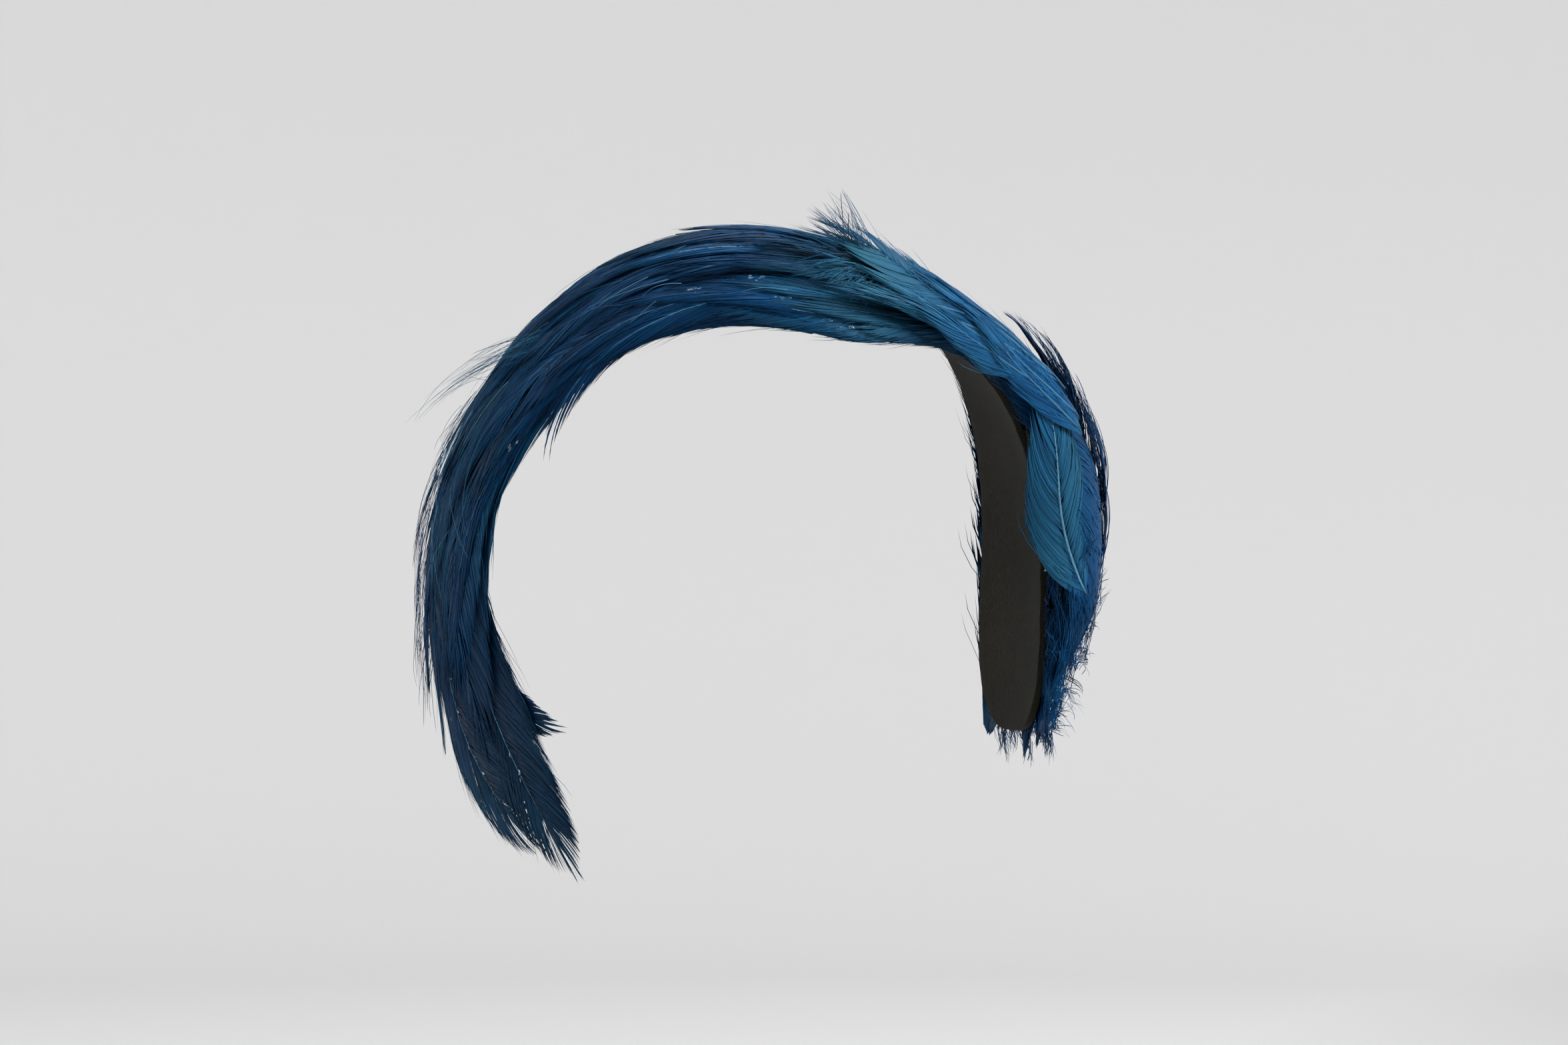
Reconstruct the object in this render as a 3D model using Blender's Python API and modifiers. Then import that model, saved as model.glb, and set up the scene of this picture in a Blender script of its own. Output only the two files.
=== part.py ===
"""A feather headband: a stiff cloth-covered band that goes over the head from ear to ear,
with blue feathers laid along it like roof tiles, from the wearer's left ear to the right cheek.

Row frame: metres, +Z up, the wearer faces -Y and the wearer's left is +X.
The origin is the middle of the band's inner face, where it sits on the crown of the head.
Lengths below are in millimetres, and angles in degrees, unless a name says otherwise.
"""

import math

import bmesh
import bpy
import numpy as np
from mathutils import Vector

MM = 0.001

# The head that the band is bent to: half an ellipsoid above the temples, a longer one below
HEAD_HALF_WIDTH = 80.0
HEAD_HALF_LENGTH = 98.0
HEAD_CROWN_HEIGHT = 88.5
HEAD_LOWER_HEIGHT = 180.0

# The band's middle line leans forward at the crown and comes back to the ears
MIDDLE_AT_EARS = 3.5
MIDDLE_LEAN_AT_CROWN = -31.0
LEAN_PEAK_ANGLE = -4.0

# The cloth-covered base
LEFT_END_ANGLE = -103.0
RIGHT_END_ANGLE = 104.0
BASE_HALF_WIDTH = 21.0
BASE_END_ROUNDING = 24.0
BASE_END_WIDTH_SHARE = 0.22
BASE_THICKNESS = 2.0
BASE_SEGMENTS = 40

# Feathers: each is a curved blade with a narrow quill
FEATHER_THICKNESS = 0.8
FEATHER_LENGTH = 100.0
LENGTH_VARIES = 6.0
SWAY = 2.0
FEATHER_HALF_WIDTH = 15.5
VANE_RISE = 0.34
LAID_TAPER = 0.62
QUILL_HALF_WIDTH = 0.9
LIFTS_FROM = 0.45
LENGTH_SEGMENTS = 11
WIDTH_SEGMENTS = 4

# Layers: each feather climbs from its quill to its tip over the next ones.
# They lie closer beside the crown, and stop climbing before the cheek, where the last tips lie flat
LAYER_GAP = 0.35
CLIMB = 0.095
LAYER_PITCH = 15.0
LAYER_COUNT = 19
LONGEST_CLIMB = 122.0
TOP_LAYER = -17.0
PRESSED_SHARE = 0.2
PRESSED_MIDDLE = 138.0
PRESSED_SPAN = 30.0
CHEEK_LEVEL = 30.0

# Feathers roll over the band's edges, except near the cheek, where they spread flat on the head
EDGE_ROLL = 12.0
CHEEK_SPREAD = 60.0
CHEEK_SPREAD_START = 70.0
CHEEK_SPREAD_SPAN = 60.0

# The tuft of down over the wearer's left ear, which props up the first feathers
DOWN_HEIGHT = 9.5
DOWN_START = 5.0
DOWN_FULL = 38.0
DOWN_SINKS = 66.0
DOWN_END = 114.0
DOWN_HALF_WIDTH = 18.0
DOWN_INSET = 4.0
DOWN_ALONG_CUTS = 13
DOWN_ACROSS_CUTS = 5
LOCK_EDGE_DEPTH = 0.36
LOCK_TOP_DEPTH = 0.24
LEAST_DOWN = 0.3

# The dip of the front feathers into the parting of the hair
DIP_DEPTH = 9.0
DIP_MIDDLE = 170.0
DIP_SPAN = 40.0


def smooth(x):
    """0 below 0, 1 above 1 and an S curve between them."""
    x = min(1.0, max(0.0, x))
    return x * x * (3.0 - 2.0 * x)


def bump(s, middle, span):
    """1 in the middle, and down to nothing about two spans away."""
    return math.exp(-(((s - middle) / span) ** 2))


def wave(x):
    """A sine wave between 0 and 1."""
    return (1.0 + math.sin(x)) / 2.0


def middle_angle(phi):
    """How far behind the ear-to-ear plane the band's middle line lies, as an angle."""
    return MIDDLE_AT_EARS + MIDDLE_LEAN_AT_CROWN * math.cos(math.radians(phi - LEAN_PEAK_ANGLE)) ** 2


def head_height(phi):
    return HEAD_CROWN_HEIGHT if abs(phi) < 90.0 else HEAD_LOWER_HEIGHT


def on_head(phi, psi):
    """A point of the head, from its middle. phi turns from the crown to the wearer's right, psi to the back."""
    turn, back = math.radians(phi), math.radians(psi)
    return Vector(
        (
            -HEAD_HALF_WIDTH * math.sin(turn) * math.cos(back),
            HEAD_HALF_LENGTH * math.sin(back),
            head_height(phi) * math.cos(turn) * math.cos(back),
        )
    )


def head_normal(phi, psi):
    p = on_head(phi, psi)
    return Vector(
        (
            p.x / HEAD_HALF_WIDTH**2,
            p.y / HEAD_HALF_LENGTH**2,
            p.z / head_height(phi) ** 2,
        )
    ).normalized()


SEAT = on_head(0.0, middle_angle(0.0))

# Length along the band's middle line, from the base's end at the wearer's left ear
ANGLES = np.arange(-130.0, 175.0, 0.5)
MIDDLE_POINTS = [on_head(a, middle_angle(a)) for a in ANGLES]
STEPS = [(b - a).length for a, b in zip(MIDDLE_POINTS, MIDDLE_POINTS[1:])]
RUN = np.concatenate([[0.0], np.cumsum(STEPS)])
RUN = RUN - np.interp(LEFT_END_ANGLE, ANGLES, RUN)
END = float(np.interp(RIGHT_END_ANGLE, ANGLES, RUN))
ANGLE_PER_WIDTH = math.degrees(1.0 / HEAD_HALF_LENGTH)

LEVEL_OFF = END - CHEEK_LEVEL


def dip(s):
    """How far forward the front feathers hang over the parting of the hair."""
    return DIP_DEPTH * bump(s, DIP_MIDDLE, DIP_SPAN)


def flat_half_width(s):
    """How far from the middle line the feathers lie flat before they roll over the band's edge."""
    near_cheek = smooth((s - END + CHEEK_SPREAD_START) / CHEEK_SPREAD_SPAN)
    return BASE_HALF_WIDTH + CHEEK_SPREAD * near_cheek


def band_point(s, w, h):
    """The point s along the band, w behind its middle line and h out from the head, rolled over the edges."""
    phi = float(np.interp(s, RUN, ANGLES))
    flat = flat_half_width(s)
    inner = min(flat, max(-flat - dip(s), w))
    psi = middle_angle(phi) + inner * ANGLE_PER_WIDTH
    normal = head_normal(phi, psi)
    along = on_head(phi + 0.5, psi) - on_head(phi - 0.5, psi)
    across = along.cross(normal).normalized()
    if across.y < 0.0:
        across = -across
    roll = (w - inner) / EDGE_ROLL
    out = normal * (h * math.cos(roll)) + across * (h * math.sin(roll))
    return (on_head(phi, psi) + out - SEAT) * MM


def down_height(s):
    """How far the tuft of down lifts what lies over it."""
    up = smooth((s - DOWN_START) / (DOWN_FULL - DOWN_START))
    sunk = smooth((s - DOWN_SINKS) / (DOWN_END - DOWN_SINKS))
    return DOWN_HEIGHT * up * (1.0 - sunk)


def layer_height(s, layer):
    """The height over the head of a feather whose layer starts at that place along the band."""
    run = max(0.0, min(min(s, LEVEL_OFF) - layer, LONGEST_CLIMB))
    pressed = 1.0 - PRESSED_SHARE * bump(s, PRESSED_MIDDLE, PRESSED_SPAN)
    return BASE_THICKNESS + LAYER_GAP + down_height(s) + CLIMB * run * pressed


def bezier(a, b, c, t):
    """A point and its direction on the curve from a by way of b to c, in the band's s and w."""
    point = [(1 - t) ** 2 * p + 2 * t * (1 - t) * q + t * t * r for p, q, r in zip(a, b, c)]
    slope = [2 * (1 - t) * (q - p) + 2 * t * (r - q) for p, q, r in zip(a, b, c)]
    size = math.hypot(*slope)
    return point, (slope[0] / size, slope[1] / size)


def vane_half_width(t, half_width, taper):
    """A narrow quill, a full vane, and a tip that rounds off from the share taper of the length."""
    rise = smooth(t / VANE_RISE)
    end = max(0.0, (t - taper) / (1.0 - taper))
    return max(QUILL_HALF_WIDTH, half_width * rise * math.sqrt(max(0.0, 1.0 - end * end)))


def surface_object(name, bm):
    """The bmesh as an object, its faces turned away from the middle of the head."""
    bm.normal_update()
    outward = sum(f.normal.dot(f.calc_center_median() + SEAT * MM) for f in bm.faces)
    if outward < 0.0:
        bmesh.ops.reverse_faces(bm, faces=bm.faces)
    mesh = bpy.data.meshes.new(name)
    bm.to_mesh(mesh)
    bm.free()
    mesh.shade_smooth()
    return bpy.data.objects.new(name, mesh)


def feather(name, path, half_width, taper, layer, lift):
    """An open blade on the band: a grid whose rows follow the feather's shaft."""
    bm = bmesh.new()
    bmesh.ops.create_grid(bm, x_segments=LENGTH_SEGMENTS, y_segments=WIDTH_SEGMENTS, size=1.0)
    for vertex in bm.verts:
        t = (vertex.co.x + 1.0) / 2.0
        (s, w), (ds, dw) = bezier(*path, t)
        side = vertex.co.y * vane_half_width(t, half_width, taper)
        s, w = s - dw * side, w + ds * side
        raised = lift * smooth((t - LIFTS_FROM) / (1.0 - LIFTS_FROM))
        vertex.co = band_point(s, w, layer_height(s, layer) + raised)
    return surface_object(name, bm)


def base_half_width(s):
    """The base's width narrows to round ends over the ears."""
    part = min(1.0, max(0.0, min(s, END - s)) / BASE_END_ROUNDING)
    share = BASE_END_WIDTH_SHARE + (1.0 - BASE_END_WIDTH_SHARE) * math.sqrt(1.0 - (1.0 - part) ** 2)
    return BASE_HALF_WIDTH * share


def base_band():
    """The stiff band itself, an open strip bent over the head with round ends."""
    bm = bmesh.new()
    bmesh.ops.create_grid(bm, x_segments=BASE_SEGMENTS, y_segments=WIDTH_SEGMENTS, size=1.0)
    for vertex in bm.verts:
        crowded = (vertex.co.x + math.sin(vertex.co.x * math.pi / 2.0)) / 2.0
        s = (crowded + 1.0) / 2.0 * END
        vertex.co = band_point(s, vertex.co.y * base_half_width(s), 0.0)
    return surface_object("base_band", bm)


def ear_down():
    """The tuft of down between the band and the first feathers, a slab with a locked edge and top."""
    bm = bmesh.new()
    bmesh.ops.create_cube(bm, size=2.0)
    sides = [e for e in bm.edges if abs(e.verts[0].co.x - e.verts[1].co.x) > 1.0]
    bmesh.ops.subdivide_edges(bm, edges=sides, cuts=DOWN_ALONG_CUTS, use_grid_fill=True)
    ends = [e for e in bm.edges if abs(e.verts[0].co.y - e.verts[1].co.y) > 1.0]
    bmesh.ops.subdivide_edges(bm, edges=ends, cuts=DOWN_ACROSS_CUTS, use_grid_fill=True)
    start, end = DOWN_START + DOWN_INSET, DOWN_END - 2.0 * DOWN_INSET
    bottom = BASE_THICKNESS + LAYER_GAP
    for vertex in bm.verts:
        s = start + (vertex.co.x + 1.0) / 2.0 * (end - start)
        w = vertex.co.y * DOWN_HALF_WIDTH * (1.0 - LOCK_EDGE_DEPTH * wave(0.55 * s))
        locks = 1.0 - LOCK_TOP_DEPTH * wave(0.9 * w + 0.25 * s)
        top = bottom + max(LEAST_DOWN, (down_height(s) - LAYER_GAP) * locks)
        vertex.co = band_point(s, w, top if vertex.co.z > 0.0 else bottom)
    return surface_object("ear_down", bm)


def material(name, colour, roughness):
    made = bpy.data.materials.new(name)
    made.use_nodes = True
    shader = made.node_tree.nodes["Principled BSDF"]
    shader.inputs["Base Color"].default_value = (*colour, 1.0)
    shader.inputs["Roughness"].default_value = roughness
    shader.inputs["Metallic"].default_value = 0.0
    return made


def thicken(obj, thickness):
    """Gives an open surface its thickness on the side away from the head."""
    wall = obj.modifiers.new("thickness", "SOLIDIFY")
    wall.thickness = thickness * MM
    wall.offset = 1.0


# Each layer is a pair of feathers side by side or one feather over their seam.
# A feather of a row: name, place of the quill across the band, drift of the tip, share of the dip
PAIR_LAYER = (("front", -19.0, -4.0, 1.0), ("back", 18.0, 3.0, 0.0))
SEAM_LAYER = (("middle", 0.0, 0.0, 0.0),)


def laid_feathers():
    """The feathers that tile the band, as name, path, half width, taper, layer and lift."""
    for i in range(LAYER_COUNT):
        start = i * LAYER_PITCH
        rows = SEAM_LAYER if i % 2 else PAIR_LAYER
        for row, quill_w, drift, dips in rows:
            sway = SWAY * math.sin(2.1 * i + quill_w)
            length = FEATHER_LENGTH + LENGTH_VARIES * math.sin(1.7 * i + quill_w)
            bend, tip = start + 0.5 * length, start + length
            path = (
                (start, quill_w - dips * dip(start)),
                (bend, quill_w + 0.3 * drift + sway - dips * dip(bend)),
                (tip, quill_w + drift + 0.5 * sway - dips * dip(tip)),
            )
            name = f"{row}_feather_{i // 2 + 1:02d}"
            yield name, path, FEATHER_HALF_WIDTH, LAID_TAPER, start, 0.0


# Feathers placed one by one, in the band's s and w: quill, bend and tip of the shaft
PLACED = (
    # name, quill, bend, tip, half width, taper, layer, lift
    ("cheek_feather_lower", (END - 73, 8), (END - 6, -2), (END + 28, -30), 14.0, 0.55, END - 75, 0.0),
    ("cheek_feather_long", (END - 58, -4), (END - 2, -38), (END + 43, -40), 14.0, 0.35, END - 60, 0.0),
    ("cheek_feather_front", (END - 43, -10), (END - 18, -22), (END - 2, -62), 11.0, 0.45, END - 45, 0.0),
    ("lifted_feather", (26, 2), (80, 0), (125, -14), 9.0, 0.25, TOP_LAYER, 7.0),
    ("crown_feather", (100, -28), (152, -33), (178, 0), 11.0, 0.70, TOP_LAYER, 5.0),
)


def main():
    for obj in list(bpy.data.objects):
        bpy.data.objects.remove(obj)
    headband = bpy.data.collections.new("feather_headband")
    bpy.context.scene.collection.children.link(headband)
    cloth = material("band_cloth", (0.035, 0.033, 0.022), 0.85)
    plumage = material("feather_blue", (0.012, 0.075, 0.19), 0.45)

    base = base_band()
    thicken(base, BASE_THICKNESS)
    base.data.materials.append(cloth)
    headband.objects.link(base)

    down = ear_down()
    down.data.materials.append(plumage)
    headband.objects.link(down)

    placed = [(n, (a, b, c), *rest) for n, a, b, c, *rest in PLACED]
    for name, path, half_width, taper, layer, lift in [*laid_feathers(), *placed]:
        blade = feather(name, path, half_width, taper, layer, lift)
        thicken(blade, FEATHER_THICKNESS)
        blade.data.materials.append(plumage)
        headband.objects.link(blade)


main()
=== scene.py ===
"""Looks of a feather headband: its barbs, shafts, down and cloth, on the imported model's band.

Places on the headband are given as s, w and h, in millimetres: s runs along the band from the wearer's
left ear to the right cheek, w is behind its middle line, and h is out from the head.
"""

import math
from dataclasses import dataclass

import bmesh
import bpy
import numpy as np
from bpy.props import FloatProperty, FloatVectorProperty, PointerProperty
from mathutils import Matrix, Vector


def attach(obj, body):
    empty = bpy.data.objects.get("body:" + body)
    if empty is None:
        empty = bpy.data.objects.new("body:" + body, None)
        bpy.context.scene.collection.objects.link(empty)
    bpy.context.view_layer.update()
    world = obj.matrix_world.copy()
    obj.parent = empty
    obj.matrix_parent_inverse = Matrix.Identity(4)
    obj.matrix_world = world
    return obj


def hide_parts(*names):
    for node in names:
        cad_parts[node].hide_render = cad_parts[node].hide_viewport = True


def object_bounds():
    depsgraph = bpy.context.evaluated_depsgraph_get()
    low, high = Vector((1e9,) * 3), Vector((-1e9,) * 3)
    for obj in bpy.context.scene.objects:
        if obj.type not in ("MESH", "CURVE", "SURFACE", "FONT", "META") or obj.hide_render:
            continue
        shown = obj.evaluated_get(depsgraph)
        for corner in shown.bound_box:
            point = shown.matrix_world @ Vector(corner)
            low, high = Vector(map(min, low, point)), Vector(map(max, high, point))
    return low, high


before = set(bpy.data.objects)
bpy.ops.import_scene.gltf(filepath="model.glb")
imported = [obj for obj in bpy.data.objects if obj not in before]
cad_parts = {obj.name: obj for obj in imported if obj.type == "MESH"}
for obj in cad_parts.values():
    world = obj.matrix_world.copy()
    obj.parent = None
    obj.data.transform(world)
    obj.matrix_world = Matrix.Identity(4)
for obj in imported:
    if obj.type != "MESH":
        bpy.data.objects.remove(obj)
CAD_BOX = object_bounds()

bl_info = {
    "name": "Feather headband looks",
    "version": (1, 0, 0),
    "blender": (4, 5, 0),
    "location": "View3D > Sidebar > Headband",
    "description": "Barbs, down, cloth and studio for a feather headband",
    "category": "Object",
}

MM = 0.001

# The head that the band is bent to
HEAD_HALF_WIDTH = 80.0
HEAD_HALF_LENGTH = 98.0
HEAD_CROWN_HEIGHT = 88.5
HEAD_LOWER_HEIGHT = 180.0

# The band's middle line
MIDDLE_AT_EARS = 3.5
MIDDLE_LEAN_AT_CROWN = -31.0
LEAN_PEAK_ANGLE = -4.0
LEFT_END_ANGLE = -103.0
RIGHT_END_ANGLE = 104.0

# The cloth-covered base
BASE_HALF_WIDTH = 21.0
BASE_END_ROUNDING = 24.0
BASE_END_WIDTH_SHARE = 0.22
BASE_THICKNESS = 2.0

# The solid feathers that the plumes stand for
FEATHER_THICKNESS = 0.8
FEATHER_LENGTH = 100.0
LENGTH_VARIES = 6.0
SWAY = 2.0
FEATHER_HALF_WIDTH = 15.5
VANE_RISE = 0.34
LAID_TAPER = 0.62
QUILL_HALF_WIDTH = 0.9
LIFTS_FROM = 0.45
LAYER_GAP = 0.35
CLIMB = 0.095
LAYER_PITCH = 15.0
LAYER_COUNT = 19
LONGEST_CLIMB = 122.0
TOP_LAYER = -17.0
PRESSED_SHARE = 0.2
PRESSED_MIDDLE = 138.0
PRESSED_SPAN = 30.0
CHEEK_LEVEL = 30.0
EDGE_ROLL = 12.0
CHEEK_SPREAD = 60.0
CHEEK_SPREAD_START = 70.0
CHEEK_SPREAD_SPAN = 60.0
DOWN_HEIGHT = 9.5
DOWN_START = 5.0
DOWN_FULL = 38.0
DOWN_SINKS = 66.0
DOWN_END = 114.0
DIP_DEPTH = 9.0
DIP_MIDDLE = 170.0
DIP_SPAN = 40.0

# The locks of barbs along a shaft
LOCK_PITCH = 3.6
LOCK_OVERLAP = 1.15
LOCK_POINTS_FROM = 0.6
LOCK_WIDENS_OVER = 0.12
BREAK_PITCH = 9.0
SHAFT_WIDTH = 0.62
SHAFT_END = 0.94
CLEARANCE = 0.2

# Where the soft barbs hang further forward than the solid feathers: middle, span and depth
HANGS = ((184.0, 28.0, 7.0), (277.0, 36.0, 12.0))

# By how many times that depth a front narrow feather's root, bend and tip hang, and at most how far past it
HACKLE_HANGS = (0.9, 2.3, 2.3)
HACKLE_HANG_LIMIT = 8.5

# Where the narrow feathers swell above the solid ones
SWELL_MIDDLE = 214.0
SWELL_SPAN = 38.0

# The feather on top at a place starts about this far back along the band
TOP_RUN = 92.0

# Narrow feathers: lowest and highest w, how many, settle, swell, and how far before the end their tips stop
HACKLE_ROWS = {
    "front": (-22.0, -9.0, 44, 1.8, 1.5, 12.0),
    "middle": (-10.0, 10.0, 44, 1.4, 3.4, 12.0),
    "back": (8.0, 19.0, 34, 2.4, 4.6, 34.0),
}

# Where the first of them starts, and how far before the band's end the last does
HACKLE_FIRST = -6.0
HACKLE_LAST = 92.0

# Narrow feathers below the crown's tuft: s, w, how far back the tip leans, and tone
CROWN_HACKLES = (
    (84, -30, 3, 0.95), (88, -28, 3, 0.85), (94, -18, 4, 0.70), (101, -24, 9, 1.05),
    (106, -12, 3, 0.78), (113, -19, 8, 0.60), (118, -31, 12, 0.95), (106, -32, 1, 1.00),
    (114, -28, -3, 0.90), (123, -29, 0, 1.05), (131, -25, -5, 0.78),
)

# The tips of the crown's tuft, as s, w and h
TUFT_SPIKES = (
    (189, -14, 22), (187, -13, 25), (185, -12, 28), (183, -12, 30), (181, -10, 31),
    (178, -9, 32), (191, -17, 19), (180, -13, 27), (184, -8, 25), (176, -11, 27),
)
TUFT_FAN = (
    (184, -26, 12.5), (188, -24, 12), (181, -29, 11.5), (178, -31, 11),
    (192, -22, 12), (187, -20, 14), (174, -32, 11), (195, -19, 13),
)

# Where the glue shows: s, w, h and how many drops
GLUE = (
    (216, -23, 11.0, 7), (212, -27, 10.0, 5), (199, -22, 11.5, 5), (196, -30, 10.5, 3), (181, -38, 10.0, 5),
    (66, -35, 16.5, 4), (47, -41, 13.5, 3), (284, -36, 9.5, 3), (286, 4, 12.5, 6), (290, 0, 12.5, 4),
)

# The studio's round sweep and its lights, in metres
FLOOR_RADIUS = 2.4
SWEEP_RADIUS = 1.0
WALL_TOP = 2.6
KEY_PLACE = (1.7, -1.8, 1.35)
FILL_PLACE = (-2.2, -1.2, 0.4)
TOP_PLACE = (0.2, 0.9, 2.4)

# The photograph's camera, whose image is 2352 by 1568 pixels
PHOTO_WIDTH = 2352
PHOTO_HEIGHT = 1568
PHOTO_LENS = 50.0
SENSOR = 36.0
PIXELS_PER_MM = 3.2
HEAD_PIXEL = (1212.0, 580.0)
CAMERA_AZIMUTH = -17.0
CAMERA_TILT = 2.0


def smooth(x):
    """0 below 0, 1 above 1 and an S curve between them."""
    x = np.clip(x, 0.0, 1.0)
    return x * x * (3.0 - 2.0 * x)


def bump(s, middle, span):
    """1 in the middle, and down to nothing about two spans away."""
    return np.exp(-(((s - middle) / span) ** 2))


def middle_angle(phi):
    """How far behind the ear-to-ear plane the band's middle line lies, as an angle."""
    return MIDDLE_AT_EARS + MIDDLE_LEAN_AT_CROWN * np.cos(np.radians(phi - LEAN_PEAK_ANGLE)) ** 2


def head_height(phi):
    """The head's half height, which is greater below its middle than above."""
    return np.where(np.abs(phi) < 90.0, HEAD_CROWN_HEIGHT, HEAD_LOWER_HEIGHT)


def on_head(phi, psi):
    """Points of the head, from its middle, in millimetres."""
    turn, back = np.radians(phi), np.radians(psi)
    x = -HEAD_HALF_WIDTH * np.sin(turn) * np.cos(back)
    y = HEAD_HALF_LENGTH * np.sin(back)
    z = head_height(phi) * np.cos(turn) * np.cos(back)
    return np.stack([x, y, z], axis=-1)


def unit(vectors):
    """Vectors brought to length 1."""
    return vectors / np.maximum(np.linalg.norm(vectors, axis=-1, keepdims=True), 1e-9)


def head_normal(phi, psi):
    """Unit vectors that point out of the head."""
    p = on_head(phi, psi)
    half_width = np.full_like(p[..., 0], HEAD_HALF_WIDTH)
    half_length = np.full_like(p[..., 1], HEAD_HALF_LENGTH)
    axes = np.stack([half_width, half_length, head_height(phi) + 0.0 * p[..., 2]], axis=-1)
    return unit(p / axes**2)


SEAT = on_head(np.array(0.0), middle_angle(0.0))
ANGLES = np.arange(-130.0, 175.0, 0.5)
MIDDLE_POINTS = on_head(ANGLES, middle_angle(ANGLES))
STEPS = np.linalg.norm(np.diff(MIDDLE_POINTS, axis=0), axis=1)
RUN = np.concatenate([[0.0], np.cumsum(STEPS)])
RUN = RUN - np.interp(LEFT_END_ANGLE, ANGLES, RUN)
END = float(np.interp(RIGHT_END_ANGLE, ANGLES, RUN))
ANGLE_PER_WIDTH = math.degrees(1.0 / HEAD_HALF_LENGTH)
LEVEL_OFF = END - CHEEK_LEVEL


def dip(s):
    """How far forward the front feathers hang over the parting of the hair."""
    return DIP_DEPTH * bump(s, DIP_MIDDLE, DIP_SPAN)


def overhang(s):
    """How much further forward the soft barbs lie than the solid feathers."""
    return sum(depth * bump(s, middle, span) for middle, span, depth in HANGS)


def flat_half_width(s):
    """How far from the middle line the feathers lie flat before they roll over the band's edge."""
    near_cheek = smooth((s - END + CHEEK_SPREAD_START) / CHEEK_SPREAD_SPAN)
    return BASE_HALF_WIDTH + CHEEK_SPREAD * near_cheek


def band_points(s, w, h):
    """Points in metres for arrays of s, w and h, rolled over the band's edges."""
    s, w, h = np.broadcast_arrays(s, w, h)
    phi = np.interp(s, RUN, ANGLES)
    flat = flat_half_width(s)
    inner = np.clip(w, -flat - dip(s) - overhang(s), flat)
    psi = middle_angle(phi) + inner * ANGLE_PER_WIDTH
    normal = head_normal(phi, psi)
    along = on_head(phi + 0.5, psi) - on_head(phi - 0.5, psi)
    across = unit(np.cross(along, normal))
    across = np.where(across[..., 1:2] < 0.0, -across, across)
    roll = ((w - inner) / EDGE_ROLL)[..., None]
    out = normal * (h[..., None] * np.cos(roll)) + across * (h[..., None] * np.sin(roll))
    return (on_head(phi, psi) + out - SEAT) * MM


def down_height(s):
    """How far the tuft of down lifts what lies over it."""
    up = smooth((s - DOWN_START) / (DOWN_FULL - DOWN_START))
    sunk = smooth((s - DOWN_SINKS) / (DOWN_END - DOWN_SINKS))
    return DOWN_HEIGHT * up * (1.0 - sunk)


def layer_height(s, layer):
    """The height over the head of a feather whose layer starts at that place along the band."""
    run = np.clip(np.minimum(s, LEVEL_OFF) - layer, 0.0, LONGEST_CLIMB)
    pressed = 1.0 - PRESSED_SHARE * bump(s, PRESSED_MIDDLE, PRESSED_SPAN)
    return BASE_THICKNESS + LAYER_GAP + down_height(s) + CLIMB * run * pressed


def vane_half_width(t, half_width, taper):
    """A narrow quill, a full vane, and a tip that rounds off from the share taper of the length."""
    end = np.clip((t - taper) / (1.0 - taper), 0.0, 1.0)
    width = half_width * smooth(t / VANE_RISE) * np.sqrt(1.0 - end * end)
    return np.maximum(QUILL_HALF_WIDTH, width)


class Template:
    """A closed unit shape cut into rows, whose copies are bent along curves.

    Its height is the way along a curve, u runs from -1 to 1 across it and v from 0 below to 1 on top.
    """

    def __init__(self, bm, rows):
        for row in range(1, rows):
            self.cut(bm, (0.0, 0.0, row / rows), (0.0, 0.0, 1.0))
        bmesh.ops.triangulate(bm, faces=bm.faces)
        bm.verts.index_update()
        place = np.array([v.co for v in bm.verts])
        self.rows = rows
        self.row = np.rint(place[:, 2] * rows).astype(int)
        self.u, self.v = place[:, 0], place[:, 1]
        self.faces = np.array([[v.index for v in face.verts] for face in bm.faces])
        bm.free()

    @staticmethod
    def cut(bm, place, normal):
        geom = [*bm.verts, *bm.edges, *bm.faces]
        bmesh.ops.bisect_plane(bm, geom=geom, plane_co=place, plane_no=normal)

    @classmethod
    def strand(cls, rows):
        """A three-sided point: u is -1 and 1 at its lower edges, and 0 on its ridge."""
        bm = bmesh.new()
        bmesh.ops.create_cone(bm, cap_ends=True, segments=3, radius1=1.0, radius2=0.0, depth=1.0)
        bmesh.ops.translate(bm, verts=bm.verts, vec=(0.0, 0.0, 0.5))
        made = cls(bm, rows)
        size = np.maximum(1.0 - made.row / rows, 1e-6)
        point = made.row == rows
        made.u = np.where(point, 0.0, made.u / size / math.sin(math.radians(60.0)))
        made.v = np.where(point, 0.0, (made.v / size + 0.5) / 1.5)
        made.rim = np.where(np.abs(made.u) > 0.5, np.sign(made.u), 0.0)
        return made


BARB = Template.strand(5)
LOCK = Template.strand(7)
CURL = Template.strand(12)


def block(template, s, w, h, **values):
    """Copies of a template, whose places are arrays of copies by vertices, with a value each."""
    count, size = s.shape
    starts = np.arange(count)[:, None, None] * size
    made = {
        "points": band_points(s, w, h).reshape(-1, 3),
        "faces": (template.faces[None] + starts).reshape(-1, 3),
        "rim": np.tile(template.rim, count),
        "along": np.tile(template.row / template.rows, count),
    }
    for key, value in values.items():
        value = np.asarray(value, dtype=float)
        if value.ndim == 1:
            value = value[:, None]
        made[key] = np.broadcast_to(value, (count, size)).ravel()
    return made


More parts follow.
